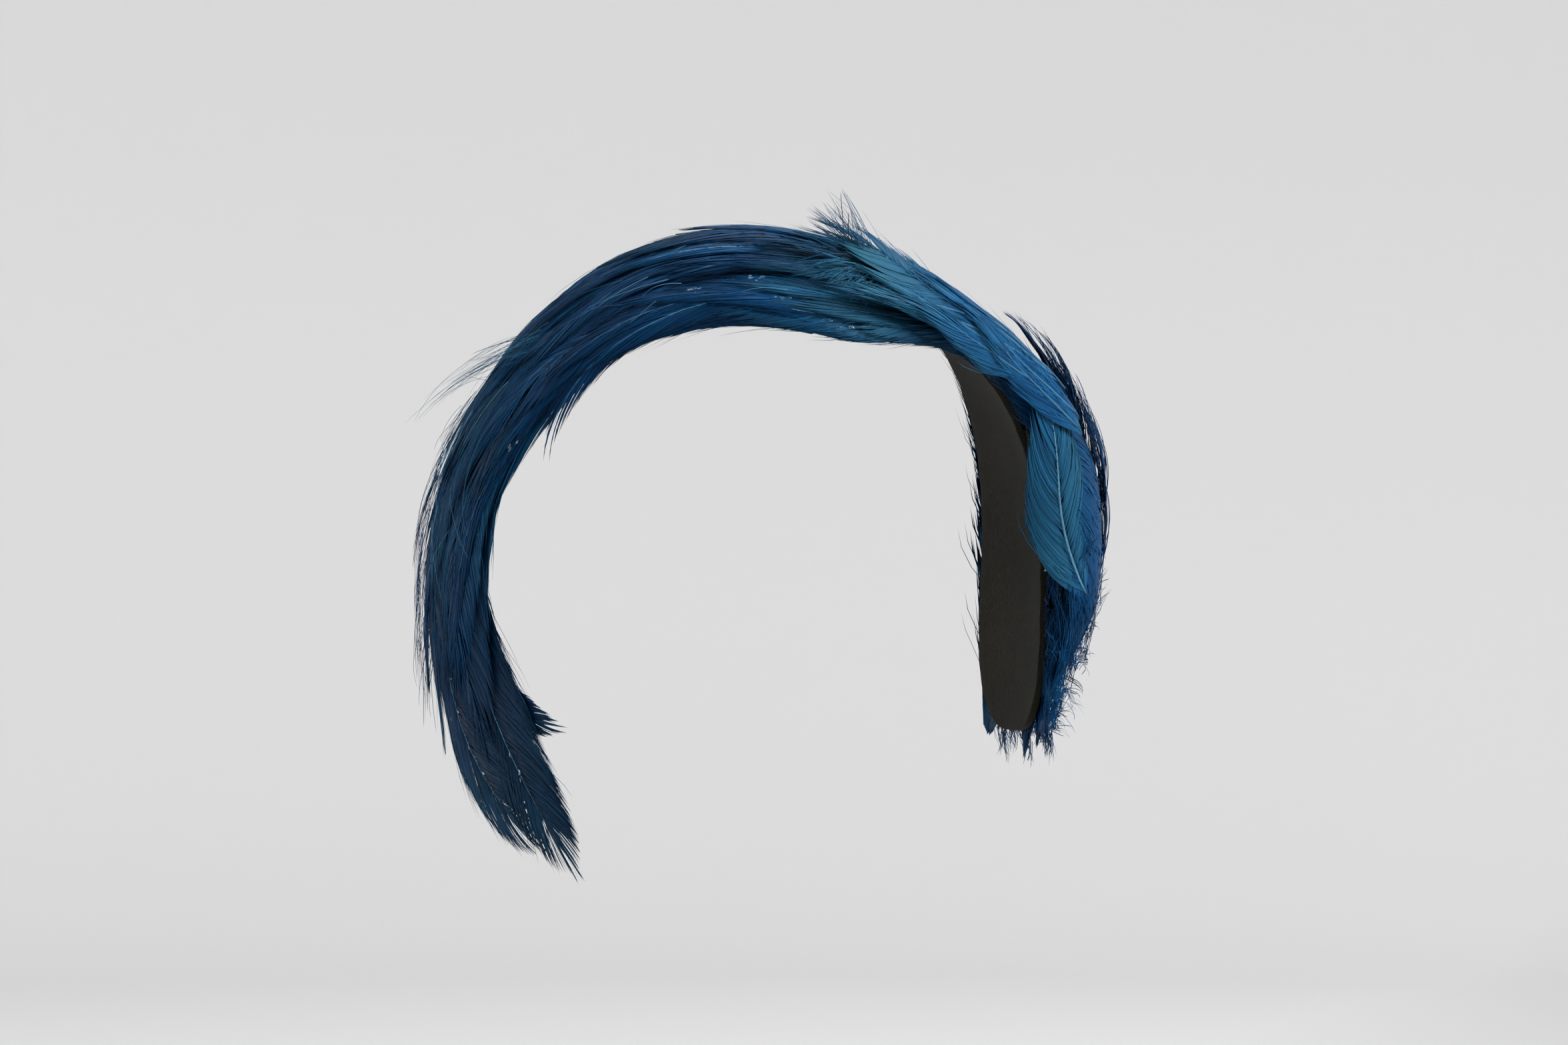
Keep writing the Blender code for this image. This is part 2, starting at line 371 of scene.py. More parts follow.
def strand_block(template, centres, width, roll, tone, kind=0.0, tint=0.5, flat=0.35):
    """Strands whose centres are (strand, row, s w h); width is (strand, row), and flat is height by width."""
    row = template.row
    ahead = unit(np.gradient(centres[..., :2], axis=1))
    mid, way = centres[:, row], ahead[:, row]
    side = 0.5 * width[:, row] * template.u
    s = mid[..., 0] + way[..., 1] * side
    w = mid[..., 1] - way[..., 0] * side
    h = mid[..., 2] + flat * width[:, row] * template.v + side * np.reshape(roll, (-1, 1))
    comb = 40.0 * np.asarray(tone, dtype=float)
    return block(template, s, w, h, tone=tone, kind=kind, tint=tint, comb=comb)


@dataclass
class Plume:
    """One feather: its shaft by way of three points in s and w, its vane and how its barbs lie.

    lift raises its tip and settle lowers it, swell raises it over the crown, and height raises all of it.
    reach is how far a barb runs along the shaft, and barbs and strays are how many single ones there are.
    """

    name: str
    path: tuple
    half_width: float
    taper: float
    layer: float
    lift: float = 0.0
    tone: float = 0.5
    tint: float = 0.5
    shaft: float = 0.3
    ragged: float = 0.4
    camber: float = 0.7
    reach: float = 34.0
    curve: float = 2.1
    barbs: float = 1.0
    strays: float = 0.05
    height: float = 0.0
    settle: float = 1.0
    swell: float = 0.0

    def point(self, t):
        """Points of the shaft and its unit direction, for an array of shares of its length."""
        a, b, c = (np.array(p, dtype=float) for p in self.path)
        t = np.asarray(t)[..., None]
        point = (1 - t) ** 2 * a + 2 * t * (1 - t) * b + t * t * c
        slope = 2 * (1 - t) * (b - a) + 2 * t * (c - b)
        return point, unit(slope)

    def length(self):
        points = self.point(np.linspace(0.0, 1.0, 20))[0]
        return float(np.linalg.norm(np.diff(points, axis=0), axis=1).sum())

    def surface(self, s, t):
        """The height of the vane's surface over the head."""
        raised = self.lift * smooth((t - LIFTS_FROM) / (1.0 - LIFTS_FROM))
        settled = self.settle * smooth((t - 0.5) / 0.5)
        swollen = self.swell * bump(s, SWELL_MIDDLE, SWELL_SPAN)
        top = layer_height(s, self.layer) + 0.5 * FEATHER_THICKNESS
        return top + raised + self.height + swollen - settled

    def beside(self, t, lateral):
        """Places beside the shaft."""
        point, way = self.point(t)
        return point[..., 0] - way[..., 1] * lateral, point[..., 1] + way[..., 0] * lateral

    def root_of(self, ends, reach):
        """Where the barbs start that end at those shares of the length."""
        reach = reach * (0.5 + 0.5 * smooth((1.15 - ends) / 0.6))
        return np.maximum(ends - reach / self.length(), 0.06 * ends)

    def rise(self, lateral):
        return -self.camber * (lateral / max(self.half_width, 1.0)) ** 2


class Gathering:
    """How one side's barbs gather into locks: where each ends, and how far it is pulled, spread and lifted."""

    def __init__(self, plume, rng):
        count = max(3, round(plume.length() / BREAK_PITCH))
        self.breaks = np.sort(rng.uniform(0.05, 1.0, count))
        edges = np.concatenate([[0.0], self.breaks, [1.05]])
        self.middle = 0.5 * (edges[1:] + edges[:-1])
        self.pull = plume.ragged * rng.uniform(0.0, 0.7, count + 1)
        self.spread = 1.0 + plume.ragged * rng.normal(0.0, 0.07, count + 1)
        self.lift = rng.normal(0.0, 0.15, count + 1)
        self.tone = rng.normal(0.0, 0.05, count + 1)

    def paths(self, plume, side, ends, reach, over, q):
        """Rows of t, lateral and height for the barbs that end at those shares of the length."""
        lock = np.searchsorted(self.breaks, ends)
        roots = plume.root_of(ends, reach)
        pulled = ((self.middle[lock] - ends) * self.pull[lock])[:, None] * q**2
        t = roots[:, None] + (ends - roots)[:, None] * q + pulled
        wide = vane_half_width(np.minimum(ends, 1.0), plume.half_width, plume.taper)
        wide = wide * self.spread[lock] * over
        lateral = side * wide[:, None] * (1.0 - (1.0 - q) ** plume.curve)
        return t, lateral, self.lift[lock][:, None] * q**2, self.tone[lock]


def vane(plume, gathering, side, rng):
    """The vane's one side: thin pointed locks of barbs that overlap all along the shaft."""
    length = plume.length()
    n = max(6, round(length / LOCK_PITCH))
    ends = 0.06 + 0.98 * (np.arange(n) + rng.uniform(0.2, 0.8, n)) / n
    q = LOCK.row / LOCK.rows
    over = 0.96 + rng.normal(0.0, 0.01 + 0.03 * plume.ragged, n)
    reach = plume.reach * rng.uniform(0.96, 1.04, n)
    t, lateral, lifted, tone = gathering.paths(plume, side, ends, reach, over, q[None])
    c = side * LOCK.u
    point = np.maximum(q - LOCK_POINTS_FROM, 0.0) / (1.0 - LOCK_POINTS_FROM)
    half = LOCK_OVERLAP * LOCK_PITCH * np.sqrt(np.clip(1.0 - point**2, 0.0, 1.0))
    half = half * (0.55 + 0.45 * smooth(q / LOCK_WIDENS_OVER))
    t = t + c * half / length
    s, w = plume.beside(t, lateral)
    tilt = rng.normal(0.08, 0.08, n)[:, None] * c
    thick = 0.20 * LOCK.v * (1.0 - q)
    h = plume.surface(s, t) + plume.rise(lateral) + lifted + tilt + thick
    h = np.maximum(h, BASE_THICKNESS + 0.1 + 0.1 * LOCK.v)
    comb = (ends - 0.5 * plume.reach / length)[:, None] * length + c * half
    return block(LOCK, s, w, h, tone=plume.tone + tone, kind=0.0, tint=plume.tint, comb=comb)


def barbs(plume, gathering, side, rng, look):
    """Single barbs of one side that lie on the vane and fray out past its edge."""
    n = max(6, int(plume.length() / look.barb_pitch * plume.barbs))
    q = np.linspace(0.0, 1.0, BARB.rows + 1)[None]
    ends = 0.10 + 0.95 * (np.arange(n) + rng.uniform(0.0, 1.0, n)) / n
    stray = rng.uniform(0.0, 1.0, n) < plume.strays
    over = rng.normal(1.0, 0.03 + 0.05 * plume.ragged, n) * np.where(stray, rng.uniform(1.05, 1.3, n), 1.0)
    reach = plume.reach * rng.uniform(0.85, 1.15, n)
    t, lateral, lifted, tone = gathering.paths(plume, side, ends, reach, over, q)
    s, w = plume.beside(t, lateral)
    flies = np.where(stray, rng.uniform(0.3, 2.5, n), rng.uniform(0.0, 0.3, n))
    h = plume.surface(s, t) + plume.rise(lateral) + lifted + 0.22 + flies[:, None] * q**2
    h = np.maximum(h, BASE_THICKNESS + CLEARANCE)
    width = look.barb_width * rng.uniform(0.6, 1.4, n)[:, None] * (1.0 - 0.6 * q**2)
    width = np.where(stray[:, None], 0.55 * width, width)
    tone = plume.tone + tone + rng.normal(0.05, 0.15, n)
    centres = np.stack([s, w, h], axis=-1)
    return strand_block(BARB, centres, width, rng.normal(0.0, 0.2, n), tone, tint=plume.tint)


def shaft(plume):
    """The shaft, a thin round quill that ends before the vane's tip."""
    t = np.linspace(0.0, SHAFT_END, CURL.rows + 1)[None]
    point, _ = plume.point(t)
    s, w = point[..., 0], point[..., 1]
    h = np.maximum(plume.surface(s, t) + 0.25, BASE_THICKNESS + CLEARANCE)
    width = SHAFT_WIDTH * (1.0 - 0.80 * t)
    centres = np.stack([s, w, h], axis=-1)
    tone = np.array([plume.shaft])
    return strand_block(CURL, centres, width, np.zeros(1), tone, kind=1.0, tint=plume.tint, flat=0.7)


def whole_plume(plume, rng, look):
    """A feather's shaft, its locks and its single barbs."""
    blocks = [shaft(plume)]
    for side in (-1.0, 1.0):
        gathering = Gathering(plume, rng)
        blocks.append(vane(plume, gathering, side, rng))
        blocks.append(barbs(plume, gathering, side, rng, look))
    return blocks


def spray(
    rng, template, root, radius, tips, per_tip, width, tone,
    tint=0.5, loose=1.0, bow=0.0, curl=0.0, kind=0.0,
):
    """Strands that rise from about one place and gather at each of the tips; bow lifts their middles."""
    root, tips = np.array(root, dtype=float), np.array(tips, dtype=float)
    n = len(tips) * per_tip
    q = np.linspace(0.0, 1.0, template.rows + 1)[None, :, None]
    starts = root + rng.normal(0.0, 1.0, (n, 3)) * np.array([radius, radius, 0.25 * radius])
    shorter = rng.uniform(0.68, 1.0, (n, 1))
    aim = np.repeat(tips, per_tip, axis=0) + rng.normal(0.0, loose, (n, 3)) * (0.25 + 2.0 * (1.0 - shorter))
    ends = starts + (aim - starts) * shorter
    length = np.linalg.norm(ends - starts, axis=1)[:, None, None]
    wander = rng.normal(0.0, 0.03, (n, 1, 3)) * length * np.sin(math.pi * q)
    centres = starts[:, None] + (ends - starts)[:, None] * q + wander
    centres[..., 2] += bow * 4.0 * (q * (1.0 - q))[..., 0]
    if curl:
        turns = rng.uniform(0.2, 0.8, (n, 1)) * math.tau * q[..., 0] + rng.uniform(0.0, math.tau, (n, 1))
        size = curl * rng.uniform(0.4, 1.0, (n, 1)) * q[..., 0]
        centres[..., 0] += size * np.cos(turns)
        centres[..., 1] += 0.6 * size * np.sin(turns)
        centres[..., 2] += size * np.sin(turns)
    widths = width * rng.uniform(0.6, 1.3, (n, 1)) * (1.0 - 0.6 * q[..., 0] ** 2)
    tones = tone + rng.normal(0.0, 0.15, n)
    return strand_block(template, centres, widths, rng.normal(0.0, 0.5, n), tones, kind, tint, 0.6)


def mesh_piece(context, name, blocks):
    """One piece joined from arrays of strands and locks, with the values that its material reads."""
    points = np.concatenate([made["points"] for made in blocks])
    starts = np.cumsum([0, *[len(made["points"]) for made in blocks[:-1]]])
    faces = np.concatenate([made["faces"] + start for made, start in zip(blocks, starts)])
    mesh = bpy.data.meshes.new(name)
    mesh.vertices.add(len(points))
    mesh.vertices.foreach_set("co", points.astype(np.float32).ravel())
    mesh.loops.add(faces.size)
    mesh.loops.foreach_set("vertex_index", faces.astype(np.int32).ravel())
    mesh.polygons.add(len(faces))
    mesh.polygons.foreach_set("loop_start", np.arange(len(faces), dtype=np.int32) * 3)
    mesh.update(calc_edges=True)
    mesh.shade_smooth()
    rim = np.concatenate([made["rim"] for made in blocks])
    ends = np.empty(len(mesh.edges) * 2, np.int32)
    mesh.edges.foreach_get("vertices", ends)
    sharp = mesh.attributes.new("sharp_edge", "BOOLEAN", "EDGE")
    sharp.data.foreach_set("value", rim[ends[0::2]] * rim[ends[1::2]] > 0.5)
    for key in ("tone", "along", "kind", "tint", "comb"):
        values = np.concatenate([made[key] for made in blocks]).astype(np.float32)
        mesh.attributes.new(key, "FLOAT", "POINT").data.foreach_set("value", values)
    mesh.materials.append(dyed_feather(context))
    piece = bpy.data.objects.new(name, mesh)
    context.scene.collection.objects.link(piece)
    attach(piece, "root")
    return piece


def smooth_piece(context, name, bm, material):
    """One piece from a bmesh, with its faces turned outward."""
    bmesh.ops.recalc_face_normals(bm, faces=bm.faces)
    mesh = bpy.data.meshes.new(name)
    bm.to_mesh(mesh)
    bm.free()
    mesh.shade_smooth()
    mesh.materials.append(material)
    piece = bpy.data.objects.new(name, mesh)
    context.scene.collection.objects.link(piece)
    return piece


class Field:
    """A shader value that adds its own Math nodes when an expression uses it."""

    def __init__(self, recipe, socket):
        self.recipe = recipe
        self.socket = socket

    def math(self, operation, *values, clamp=False):
        settings = {"operation": operation, "use_clamp": clamp}
        return self.recipe.node("ShaderNodeMath", settings, values)

    def __add__(self, other):
        return self.math("ADD", self, other)

    __radd__ = __add__

    def __sub__(self, other):
        return self.math("SUBTRACT", self, other)

    def __rsub__(self, other):
        return self.math("SUBTRACT", other, self)

    def __mul__(self, other):
        return self.math("MULTIPLY", self, other)

    __rmul__ = __mul__

    def clamp(self):
        return self.math("ADD", self, 0.0, clamp=True)

    def sine(self):
        return self.math("SINE", self)


class Recipe:
    """A material whose nodes are made by one method."""

    def __init__(self, name):
        self.material = bpy.data.materials.new(name)
        self.material.use_nodes = True
        self.nodes = self.material.node_tree.nodes
        self.links = self.material.node_tree.links
        self.shader = self.nodes["Principled BSDF"]

    def put(self, socket, value):
        if isinstance(value, Field):
            self.links.new(value.socket, socket)
        else:
            socket.default_value = value

    def node(self, kind, settings=None, values=(), output=0):
        """Adds a node, sets it, fills its sockets by number or name, and gives an output as a value."""
        made = self.nodes.new(kind)
        for key, value in (settings or {}).items():
            setattr(made, key, value)
        pairs = values.items() if isinstance(values, dict) else enumerate(values)
        for key, value in pairs:
            self.put(made.inputs[key], value)
        return Field(self, made.outputs[output])

    def attribute(self, name):
        return self.node("ShaderNodeAttribute", {"attribute_name": name}, output="Fac")

    def mix(self, factor, a, b):
        return self.node("ShaderNodeMix", {"data_type": "RGBA"}, {0: factor, 6: a, 7: b}, output=2)

    def place(self):
        return self.node("ShaderNodeTexCoord", output="Object")

    def noise(self, scale, detail, vector=None):
        """Noise between 0 and 1, in features to the metre unless another vector is given."""
        values = {"Vector": vector or self.place(), "Scale": scale, "Detail": detail}
        return self.node("ShaderNodeTexNoise", values=values, output=0)

    def vector(self, x=0.0, y=0.0, z=0.0):
        return self.node("ShaderNodeCombineXYZ", values=(x, y, z))

    def relief(self, height, strength, distance):
        values = {"Strength": strength, "Distance": distance, "Height": height}
        return self.node("ShaderNodeBump", values=values)

    def finish(self, colour, roughness, normal=None, **constants):
        self.put(self.shader.inputs["Base Color"], colour)
        self.put(self.shader.inputs["Roughness"], roughness)
        if normal is not None:
            self.put(self.shader.inputs["Normal"], normal)
        for key, value in constants.items():
            self.shader.inputs[key.replace("_", " ")].default_value = value
        return self.material


def rgba(colour):
    """A colour with its alpha."""
    return (*colour[:3], 1.0)


def number_property(name, description, default, unit="NONE"):
    """A number that the user can change."""
    return FloatProperty(name=name, description=description, default=default, unit=unit)


def colour_property(name, description, default):
    """A colour that the user can change."""
    return FloatVectorProperty(name=name, description=description, subtype="COLOR", default=default)


class PlumageLook(bpy.types.PropertyGroup):
    """Sizes and colours of the feathers."""

    barb_width: number_property("Barb width", "Width of a single barb, in mm", 0.38)
    barb_pitch: number_property("Barb pitch", "Distance between single barbs, in mm", 1.3)
    # Deep blue doubles as painted shade in the gaps between the barbs.
    deep: colour_property("Deep blue", "Dye in the shade", (0.0006, 0.009, 0.033))
    mid: colour_property("Blue", "Dye in the middle tones", (0.0014, 0.036, 0.112))
    # Bright blue doubles as a painted highlight on the barbs' ridges.
    bright: colour_property("Bright blue", "Dye on the ridges", (0.006, 0.100, 0.25))
    teal: colour_property("Teal", "Dye over the greyer feathers", (0.021, 0.106, 0.158))
    olive: colour_property("Olive", "Natural colour that shows through", (0.030, 0.040, 0.026))
    shaft: colour_property("Shaft", "Colour of the light shafts", (0.12, 0.29, 0.42))


class ClothLook(bpy.types.PropertyGroup):
    """Size and colours of the base's cloth."""

    thread: number_property("Thread", "Distance between threads, in mm", 0.9)
    # The dark colour is painted shade in the weave's hollows, and the light one a painted highlight on its
    # threads.
    dark: colour_property("Dark", "Cloth in its hollows", (0.004, 0.004, 0.0026))
    light: colour_property("Light", "Cloth on its threads", (0.026, 0.024, 0.014))


class StudioLook(bpy.types.PropertyGroup):
    """The camera, the floor and the lights."""

    lens: number_property("Lens", "Focal length, in mm", 85.0)
    floor_drop: number_property("Floor drop", "How far below the band's seat the floor lies", 0.37, "LENGTH")
    backdrop: colour_property("Backdrop", "Colour of the floor and wall", (0.67, 0.67, 0.675))
    near_key: colour_property("Near the key", "Colour of the floor below the key light", (0.27, 0.27, 0.274))
    key: number_property("Key", "Power of the light at the right", 125.0, "POWER")
    fill: number_property("Fill", "Power of the light at the left", 4.5, "POWER")
    top: number_property("Top", "Power of the light above", 20.0, "POWER")
    world: number_property("World", "Strength of the light all round", 0.66)


def plumage_material(look):
    """Dyed feather with teal and olive patches and tones that vary at random, painted deep as shade in the gaps
    between barbs and brighter as a highlight on the barbs.

    Each strand's tone is its lightness, along runs from its root to its tip, kind is 1 on a shaft or a pale
    hair, tint is its share of teal, and comb counts millimetres across the barbs.
    """
    made = Recipe("dyed_feather")
    tone, along = made.attribute("tone"), made.attribute("along")
    kind, tint, comb = made.attribute("kind"), made.attribute("tint"), made.attribute("comb")
    patches = made.noise(30.0, 3.0)
    broad = made.noise(11.0, 2.0)
    hairs = made.noise(1.0, 3.0, made.vector(comb * 2.6, along * 1.6, tone * 7.0))
    strips = made.noise(1.0, 2.0, made.vector(comb * 0.62, along * 1.1, tint * 9.0))
    # The barb noises that shape the relief also make the colour darker in its grooves, as painted shade, and
    # lighter on its ridges, as a painted highlight; tone and patches vary at random.
    value = tone * 0.60 + hairs * 0.50 + strips * 0.42 + patches * 0.55 - 0.66
    value = value.clamp()
    low = made.mix((value * 2.0).clamp(), rgba(look.deep), rgba(look.mid))
    dyed_and_shaded = made.mix((value * 2.0 - 1.0).clamp(), low, rgba(look.bright))
    greyer = ((broad - 0.5) * 4.0 + (tint - 0.5) * 1.6 + along * 0.25).clamp()
    dyed_and_shaded = made.mix(greyer * (value * 1.1 + 0.15).clamp(), dyed_and_shaded, rgba(look.teal))
    bare = ((patches - 0.60) * 7.0).clamp() * ((0.75 - along) * 2.0).clamp()
    dyed_and_shaded = made.mix(bare * 0.55, dyed_and_shaded, rgba(look.olive))
    quill = made.mix(tone.clamp(), rgba(look.mid), rgba(look.shaft))
    colour = made.mix(kind.clamp(), dyed_and_shaded, quill)
    relief = hairs * 0.6 + strips * 0.4
    return made.finish(
        colour,
        (0.58 - hairs * 0.22).clamp(),
        made.relief(relief, 0.45, 0.0004),
        Specular_IOR_Level=0.2,
        Specular_Tint=(0.35, 0.75, 1.0, 1.0),
    )


def cloth_material(look):
    """Plain woven cloth on the band's own UV map, in metres along and across the band."""
    made = Recipe("woven_cloth")
    place = made.node("ShaderNodeUVMap")
    along = made.node("ShaderNodeSeparateXYZ", values=(place,), output="X")
    across = made.node("ShaderNodeSeparateXYZ", values=(place,), output="Y")
    turns = math.tau / (look.thread * MM)
    drift = made.noise(160.0, 2.0)
    warp = (along * turns + drift * 2.5).sine()
    weft = (across * turns + drift * 2.5).sine()
    weave = warp * weft * 0.5 + 0.5
    fuzz = made.noise(2600.0, 3.0)
    wear = made.noise(38.0, 4.0)
    # The weave and fuzz that shape the relief also darken its hollows as painted shade and lighten its threads as
    # a painted highlight; the wear noise is the cloth's own.
    tint = (weave * 0.40 + fuzz * 0.30 + wear * 0.75 - 0.30).clamp()
    colour = made.mix(tint, rgba(look.dark), rgba(look.light))
    normal = made.relief(weave * 0.7 + fuzz * 0.3, 0.8, 0.0004)
    return made.finish(
        colour, (0.95 - weave * 0.12).clamp(), normal,
        Specular_IOR_Level=0.15, Sheen_Weight=0.04, Sheen_Roughness=0.5,
    )


def paper_material(look):
    """Plain paper, toned down where the floor nears the key light so that it doesn't burn out."""
    made = Recipe("studio_paper")
    place = made.place()
    x, y, z = (made.node("ShaderNodeSeparateXYZ", values=(place,), output=axis) for axis in "XYZ")
    near = ((x - y + 0.75) * 0.6).clamp() * (0.6 - z * 1.2).clamp()
    return made.finish(made.mix(near, rgba(look.backdrop), rgba(look.near_key)), 0.9)


def greenness(s, w):
    """The share of teal in the dye: most over the left temple and on the back's outline."""
    share = 0.42 + 0.35 * bump(s, 130.0, 45.0) - 0.30 * bump(s, 215.0, 35.0) + 0.01 * w
    return np.clip(share, 0.0, 1.0)


def laid_plumes():
    """The plumes that tile the band, one for each solid feather."""
    rows = {0: (("front", -19.0, -4.0, 1.0), ("back", 18.0, 3.0, 0.0)), 1: (("middle", 0.0, 0.0, 0.0),)}
    for i in range(LAYER_COUNT):
        start = i * LAYER_PITCH
        for row, quill_w, drift, dips in rows[i % 2]:
            sway = SWAY * math.sin(2.1 * i + quill_w)
            length = FEATHER_LENGTH + LENGTH_VARIES * math.sin(1.7 * i + quill_w)
            bend, tip = start + 0.5 * length, start + length
            path = (
                (start, quill_w - dips * dip(start)),
                (bend, quill_w + 0.3 * drift + sway - dips * dip(bend)),
                (tip, quill_w + drift + 0.5 * sway - dips * dip(tip)),
            )
            yield Plume(
                f"{row}_feather_{i // 2 + 1:02d}", path, FEATHER_HALF_WIDTH, LAID_TAPER, start,
                tone=0.45 + 0.20 * math.sin(4.7 * i + 0.6 * quill_w), tint=greenness(bend, quill_w),
                shaft=0.25, ragged=0.25, settle=1.6 if row == "middle" else 2.3,
            )


def cheek_plumes():
    """The three tips that spread on the cheek."""
    rows = (
        # Their tones, the second last column, are set low as painted shade from the face over the cheek.
        ("cheek_feather_lower", (END - 73, 8), (END - 4, -4), (END + 33, -35), 14.0, 0.55, END - 75, 0.05, 3.0),
        ("cheek_feather_long", (END - 58, -4), (END - 2, -40), (END + 45, -43), 14.0, 0.35, END - 60, -0.10, 0.5),
        ("cheek_feather_front", (END - 43, -10), (END - 13, -24), (END + 2, -55), 7.0, 0.40, END - 45, 0.02, 0.5),
    )
    for name, quill, bend, tip, half_width, taper, layer, tone, settle in rows:
        yield Plume(
            name, (quill, bend, tip), half_width, taper, layer,
            tone=tone, tint=0.35, shaft=0.5, ragged=0.3,
            reach=2.8 * half_width, strays=0.12, barbs=3.4, settle=settle,
        )


def hackles(row, rng):
    """The narrow feathers of a row, whose places, widths and dyes vary."""
    low, high, count, settle, swell, stops = HACKLE_ROWS[row]
    for i in range(count):
        length = rng.uniform(60.0, 100.0)
        start = HACKLE_FIRST + (i + rng.uniform(0.0, 1.0)) * (END - HACKLE_LAST) / count
        length = min(length, END - stops - start)
        bend, w = start + 0.5 * length, rng.uniform(low, high)
        # They swing forward over the right temple and gather towards the cheek
        lean = rng.normal(0.0, 3.0) - 11.0 * bump(bend, 225.0, 40.0) * (w > -15.0)
        lean -= (0.5 * w + 6.0) * smooth((bend - 250.0) / 50.0) * (w > -5.0)
        lean += 5.0 * (row == "front")
        path = ((start, w), (bend, w + 0.25 * lean), (start + length, w + lean))
        if row == "front":
            hangs = [
                dip(s) + min(times * overhang(s), overhang(s) + HACKLE_HANG_LIMIT)
                for (s, _), times in zip(path, HACKLE_HANGS)
            ]
            path = tuple((s, across - hang) for (s, across), hang in zip(path, hangs))
        yield Plume(
            f"{row}_hackle", path, rng.uniform(4.0, 7.0), rng.uniform(0.3, 0.5), start - 4.0,
            tone=np.clip(rng.normal(0.46, 0.18), 0.0, 1.0),
            tint=np.clip(greenness(bend, w) + rng.normal(0.0, 0.15), 0.0, 1.0),
            shaft=rng.uniform(0.0, 1.0) ** 4, ragged=rng.uniform(0.2, 0.5), camber=0.5,
            reach=rng.uniform(32.0, 46.0), barbs=0.6, strays=0.04,
            height=rng.uniform(0.0, 0.5), settle=settle + rng.uniform(0.0, 0.8), swell=swell,
        )


def dyed_feather(context):
    """The one material of all the feathers, made when it is first asked for."""
    return bpy.data.materials.get("dyed_feather") or plumage_material(context.scene.headband_plumage)


def plumes_piece(context, name, plumes, rng):
    """One piece of whole feathers."""
    look = context.scene.headband_plumage
    return mesh_piece(context, name, [made for plume in plumes for made in whole_plume(plume, rng, look)])


def replace_node(context, plume, rng):
    """Puts a plume of barbs in the place of the solid feather of its name."""
    piece = plumes_piece(context, f"{plume.name}_barbs", [plume], rng)
    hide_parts(plume.name)


class Maker:
    """What operators share that make their pieces with random draws of their own."""

    def execute(self, context):
        self.make(context, np.random.default_rng(self.seed))
        return {"FINISHED"}


class HEADBAND_OT_base(bpy.types.Operator):
    """Covers the stiff band with woven cloth."""

    bl_idname = "headband.base"
    bl_label = "Cloth-covered base"

    def execute(self, context):
        bm = bmesh.new()
        uv = bm.loops.layers.uv.new("UVMap")
        s_of, w_of = bm.verts.layers.float.new("s"), bm.verts.layers.float.new("w")
        side_of = bm.verts.layers.float.new("side")
        bmesh.ops.create_grid(bm, x_segments=150, y_segments=12, size=1.0)
        for vertex in bm.verts:
            x, y = vertex.co.x, vertex.co.y
            s = ((x + math.sin(x * math.pi / 2.0)) / 2.0 + 1.0) / 2.0 * END
            part = min(1.0, min(s, END - s) / BASE_END_ROUNDING)
            share = BASE_END_WIDTH_SHARE + (1.0 - BASE_END_WIDTH_SHARE) * math.sqrt(1.0 - (1.0 - part) ** 2)
            vertex[s_of], vertex[w_of] = s, y * BASE_HALF_WIDTH * share
            vertex[side_of] = y if abs(y) > 0.999 else 0.0
        inner = set(bm.verts)
        bmesh.ops.extrude_face_region(bm, geom=bm.faces[:], use_keep_orig=True)
        s, w = (np.array([v[layer] for v in bm.verts]) for layer in (s_of, w_of))
        outer = np.array([v not in inner for v in bm.verts])
        pucker = 0.10 * np.sin(s * 0.55 + 2.0 * np.sin(w * 0.3)) * smooth((np.abs(w) - 10.0) / 10.0)
        for vertex, point in zip(bm.verts, band_points(s, w, pucker + BASE_THICKNESS * outer)):
            vertex.co = point
        for face in bm.faces:
            wall = len({v in inner for v in face.verts}) == 2
            ends = all(v[side_of] == 0.0 for v in face.verts)
            for loop in face.loops:
                s, w = loop.vert[s_of], loop.vert[w_of]
                if wall and loop.vert not in inner:
                    s += BASE_THICKNESS * ends
                    w += BASE_THICKNESS * math.copysign(1.0 - ends, w)
                loop[uv].uv = (s * MM, w * MM)
        cloth = cloth_material(context.scene.headband_cloth)
        piece = smooth_piece(context, "base_band_cloth", bm, cloth)
        soft_edge = piece.modifiers.new("soft edge", "BEVEL")
        soft_edge.width = 0.7 * MM
        soft_edge.segments = 3
        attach(piece, "root")
        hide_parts("base_band")
        return {"FINISHED"}


class HEADBAND_OT_laid_feathers(Maker, bpy.types.Operator):
    """Lays the plumes that tile the band."""

    bl_idname = "headband.laid_feathers"
    bl_label = "Laid feathers"
    seed = 11

    def make(self, context, rng):
        for plume in laid_plumes():
            replace_node(context, plume, rng)


class HEADBAND_OT_cheek_feathers(Maker, bpy.types.Operator):
    """Lays the three tips that spread on the cheek."""

    bl_idname = "headband.cheek_feathers"
    bl_label = "Cheek feathers"
    seed = 12

    def make(self, context, rng):
        for plume in cheek_plumes():
            replace_node(context, plume, rng)


class HEADBAND_OT_hackles(Maker, bpy.types.Operator):
    """Lays narrow feathers among the wide ones, in three groups across the band."""

    bl_idname = "headband.hackles"
    bl_label = "Narrow feathers"
    seed = 21

    def make(self, context, rng):
        for row in HACKLE_ROWS:
            plumes_piece(context, f"{row}_hackles", hackles(row, rng), rng)


